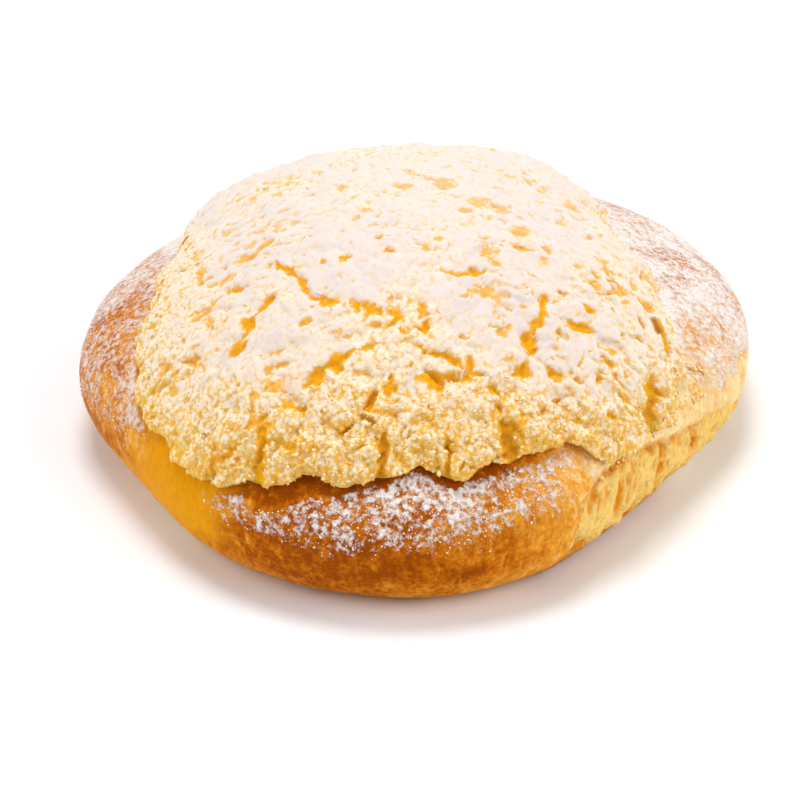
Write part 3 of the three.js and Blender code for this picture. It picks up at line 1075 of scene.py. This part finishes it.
def sugared_tips():
    """Sugar on the tips of fine grains: the more Powder, the further down each grain it reaches.

    Veil goes from clean white tips over coloured dips, at 0, to an even cream coat, at 1. The tips' white
    is painted lighter, as painted light, and the coat's white is painted darker, as painted shade.
    """
    inputs = ["Colour", "Dip Colour", "Powder", "Fineness", "Veil"]
    group, given, end = new_group("sugared_tips", inputs, ["Colour", "Cover", "Height"])
    frayed = noise(group, product(group, given["Fineness"], 0.7))
    away = math_of(group, "ADD", grain_gaps(group, given["Fineness"]), scaled(group, frayed, 0.6, -0.3))
    inside = math_of(group, "SUBTRACT", scaled(group, given["Powder"], 1.15, -0.05), away)
    cover = ranged(group, inside, -0.22, 0.22)
    # Painted light and shade: brighter sugar on the clean tips, darker sugar where the coat is even.
    white = mixed(group, given["Veil"], TIP_SUGAR_PAINTED_LIGHTER, CROWN_SUGAR_PAINTED_DARKER)
    dips = product(group, ranged(group, away, 0.45, 0.9, 0.7), scaled(group, given["Veil"], -0.9, 1.0))
    under = mixed(group, dips, given["Colour"], given["Dip Colour"])
    height = product(group, math_of(group, "SUBTRACT", 1.0, away), scaled(group, given["Veil"], -0.7, 1.0))
    fill(group, end, Colour=mixed(group, cover, under, white), Cover=cover, Height=height)
    return group


def baked_mottle():
    """Uneven baking: lighter and darker patches of two sizes."""
    group, given, end = new_group("baked_mottle", ["Colour", "Amount", "Fineness"], ["Colour"])
    wide = noise(group, given["Fineness"], detail=4.0, roughness=0.6)
    fine = noise(group, product(group, given["Fineness"], 5.0))
    both = math_of(group, "ADD", product(group, wide, 0.65), product(group, fine, 0.35))
    swing = product(group, math_of(group, "SUBTRACT", both, 0.5), given["Amount"])
    value = math_of(group, "ADD", 1.0, swing)
    tuned = add(group, "HueSaturation", Value=value, Color=given["Colour"])
    fill(group, end, Colour=tuned.outputs["Color"])
    return group


def crumb_grain(tree, fineness):
    """Height of fine crumb: rounded grains over softer lumps."""
    rounded = math_of(tree, "SUBTRACT", 1.0, grain_gaps(tree, fineness))
    return math_of(tree, "ADD", product(tree, rounded, 0.6), noise(tree, 0.6 * fineness, detail=3.0))


# Finishes

def new_finish(name):
    finish = bpy.data.materials.new(name)
    finish.use_nodes = True
    return finish, finish.node_tree, finish.node_tree.nodes["Principled BSDF"]


PALE_CRUST = (0.99, 0.77, 0.40)
GOLDEN_CRUST = (0.88, 0.38, 0.035)
BROWN_CRUST = (0.60, 0.16, 0.003)
DEEP_CRUST = (0.36, 0.072, 0.001)
AMBER_CRUST = (0.86, 0.345, 0.003, 1)
TORN_CRUMB = (1.0, 0.66, 0.19, 1)
# Darker orange of the torn crumb: painted shade in its holes, valleys and tear, and the toasted colour of
# its lower edge
TORN_SHADE_AND_TOAST = (0.82, 0.29, 0.015, 1)
COCONUT_YELLOW = (0.93, 0.54, 0.075, 1)
COCONUT_CREAM = (0.95, 0.67, 0.22, 1)
COCONUT_HOLLOW = (0.83, 0.38, 0.006, 1)
VEILED_COCONUT = (0.81, 0.66, 0.43, 1)
# Brown of the open dough, also used for the painted shade in the deepest dips
COCONUT_BROWN_AND_SHADE = (0.42, 0.14, 0.01, 1)
# Lumps in a metre of the noise in the finishes
WRINKLES = 600
PORES = 1200
PATCHES = 230
STREAKS = 430
COCONUT_LUMPS = 350


def let_light_in(tree, shader, bump, weight, radius, scale):
    """A bumpy face with light scattered under it."""
    fill(tree, shader, Normal=bump.outputs["Normal"], Subsurface_Weight=weight)
    fill(tree, shader, Subsurface_Radius=radius, Subsurface_Scale=scale)


def crust_finish(mottle):
    finish, tree, shader = new_finish("baked_crust")
    browned, torn, hole = (painted(tree, name) for name in ("browning", "torn", "hole"))
    wrinkles = noise(tree, WRINKLES, 3.0, 0.6, drawn_out=(1, 1, 0.5))
    pores = noise(tree, PORES, 3.0, 0.6)
    patches = scaled(tree, noise(tree, PATCHES, 3.0), 0.5, -1.25)
    baked = math_of(tree, "ADD", wrinkles, math_of(tree, "ADD", pores, patches))
    # The ramp from pale to deep brown carries both the baking and the painted shade under the lip.
    roughened = scaled(tree, browned, 0.8, 0.35)
    share = math_of(tree, "MULTIPLY_ADD", baked, roughened, browned, clamp=True)
    stops = [(0.0, PALE_CRUST), (0.35, GOLDEN_CRUST), (0.7, BROWN_CRUST), (1.0, DEEP_CRUST)]
    skin = mixed(tree, painted(tree, "amber"), ramp(tree, share, stops), AMBER_CRUST)
    streaks = scaled(tree, noise(tree, STREAKS, drawn_out=(1, 1, 0.3)), 2.2, -1.1)
    # Torn crumb with painted shade in its hollows, a toasted lower edge, and random streaks.
    crumb = mixed(tree, math_of(tree, "ADD", hole, streaks, clamp=True), TORN_CRUMB, TORN_SHADE_AND_TOAST)
    bare = mixed(tree, math_of(tree, "MAXIMUM", torn, hole), skin, crumb)
    uneven = use(tree, mottle, Colour=bare, Amount=0.5, Fineness=420)["Colour"]
    softness = scaled(tree, painted(tree, "haze"), 0.16, 0.2)
    sugared, cover = dusted(tree, uneven, painted(tree, "powder"), 950, softness)
    dull = math_of(tree, "MAXIMUM", torn, cover)
    grains = product(tree, crumb_grain(tree, 1300), dull)
    height = math_of(tree, "ADD", scaled(tree, pores, 0.6, wrinkles), grains)
    bump = add(tree, "Bump", Strength=0.7, Distance=0.001, Height=height)
    rough = scaled(tree, dull, 0.36, 0.46)
    fill(tree, shader, Base_Color=sugared, Roughness=rough, Specular_IOR_Level=0.02)
    let_light_in(tree, shader, bump, 0.12, (1.0, 0.45, 0.15), 0.0015)
    return finish


def sugared_coconut(tree, shader, tipped, colour, fineness):
    """Sugared coconut as the shader's colour. Gives back the height of its grains."""
    given = {"Powder": painted(tree, "powder"), "Veil": painted(tree, "coat"), "Fineness": fineness}
    sugared = use(tree, tipped, Colour=colour, Dip_Colour=COCONUT_HOLLOW, **given)
    rough = scaled(tree, sugared["Cover"], 0.15, 0.75)
    fill(tree, shader, Base_Color=sugared["Colour"], Roughness=rough, Specular_IOR_Level=0.1)
    return sugared["Height"]


def coconut_crust_finish(tipped, mottle):
    finish, tree, shader = new_finish("coconut_crust")
    crumb = mixed(tree, noise(tree, COCONUT_LUMPS, 3.0), COCONUT_YELLOW, COCONUT_CREAM)
    veil = ranged(tree, painted(tree, "coat"), 0.25, 0.8)
    veiled = mixed(tree, veil, crumb, VEILED_COCONUT)
    golden = mixed(tree, painted(tree, "hollow"), veiled, COCONUT_HOLLOW)
    deep = mixed(tree, painted(tree, "browned"), golden, COCONUT_BROWN_AND_SHADE)
    uneven = use(tree, mottle, Colour=deep, Amount=0.35, Fineness=500)["Colour"]
    height = sugared_coconut(tree, shader, tipped, uneven, fineness=1250)
    bump = add(tree, "Bump", Strength=0.25, Distance=0.0005, Height=height)
    let_light_in(tree, shader, bump, 0.7, (1.0, 0.9, 0.6), 0.0006)
    return finish


def crumb_finish(tipped, mottle):
    finish, tree, shader = new_finish("coconut_crumbs")
    crumb = mixed(tree, painted(tree, "tint"), COCONUT_YELLOW, COCONUT_CREAM)
    golden = mixed(tree, painted(tree, "hollow"), crumb, COCONUT_HOLLOW)
    uneven = use(tree, mottle, Colour=golden, Amount=0.25, Fineness=700)["Colour"]
    sugared_coconut(tree, shader, tipped, uneven, fineness=900)
    return finish


def sugar_finish(mottle):
    finish, tree, shader = new_finish("icing_sugar")
    shade = mixed(tree, painted(tree, "tint"), FALLEN_SUGAR, BRIGHT_SUGAR)
    uneven = use(tree, mottle, Colour=shade, Amount=0.1, Fineness=900)["Colour"]
    fill(tree, shader, Base_Color=uneven, Roughness=0.9, Specular_IOR_Level=0.2)
    return finish


# Floor, light and camera

def make_floor():
    bm = bmesh.new()
    bmesh.ops.create_grid(bm, x_segments=4, y_segments=4, size=FLOOR_REACH)
    floor = in_scene("floor", mesh_from(bm, "floor"))
    finish, tree, shader = new_finish("pale_floor")
    fill(tree, shader, Base_Color=FLOOR_COLOUR, Roughness=0.9, Specular_IOR_Level=0.1)
    floor.data.materials.append(finish)


def aim_at(thing, place, target):
    thing.location = place
    thing.rotation_euler = (Vector(target) - Vector(place)).to_track_quat("-Z", "Y").to_euler()


def make_light():
    world = bpy.data.worlds.new("studio")
    world.use_nodes = True
    backdrop = world.node_tree.nodes["Background"]
    fill(world.node_tree, backdrop, Color=(1, 1, 1, 1), Strength=SKY_STRENGTH)
    bpy.context.scene.world = world
    for name, (place, size, power) in LIGHTS.items():
        light = bpy.data.lights.new(name, "AREA")
        light.shape = "DISK"
        light.size = size
        light.energy = power
        aim_at(in_scene(name, light), place, LIGHT_AIM)
    settings = bpy.context.scene.view_settings
    settings.view_transform = "Standard"
    settings.look = "None"


def make_camera():
    """The photograph's view, with the target on its pixel."""
    lift = math.radians(VIEW_ELEVATION)
    back = Vector((0, -math.cos(lift), math.sin(lift)))
    up = Vector((0, math.sin(lift), math.cos(lift)))
    target = Vector((-PLAN_MIDDLE[0], -PLAN_MIDDLE[1], VIEW_TARGET_HEIGHT)) * MM
    aside, below = ((pixel - PHOTO_SIDE / 2) / PIXELS_PER_MM * MM for pixel in VIEW_TARGET_PIXEL)
    data = bpy.data.cameras.new("camera")
    data.sensor_width = SENSOR
    data.lens = SENSOR * PIXELS_PER_MM * VIEW_DISTANCE / PHOTO_SIDE
    data.clip_start = 0.01
    data.clip_end = 20
    camera = in_scene("camera", data)
    aim_at(camera, target + back * VIEW_DISTANCE * MM, target - Vector((aside, 0, 0)) + up * below)
    bpy.context.scene.camera = camera


def dress():
    tipped = sugared_tips()
    mottle = baked_mottle()
    bun = make_bun()
    bun.data.materials.append(crust_finish(mottle))
    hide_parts("bun")
    topping = make_topping()
    topping.data.materials.append(coconut_crust_finish(tipped, mottle))
    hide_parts("coconut_topping")
    crumbs = make_crumbs()
    crumbs.data.materials.append(crumb_finish(tipped, mottle))
    sugar = make_sugar()
    sugar.data.materials.append(sugar_finish(mottle))


make_camera()
make_light()
make_floor()
dress()
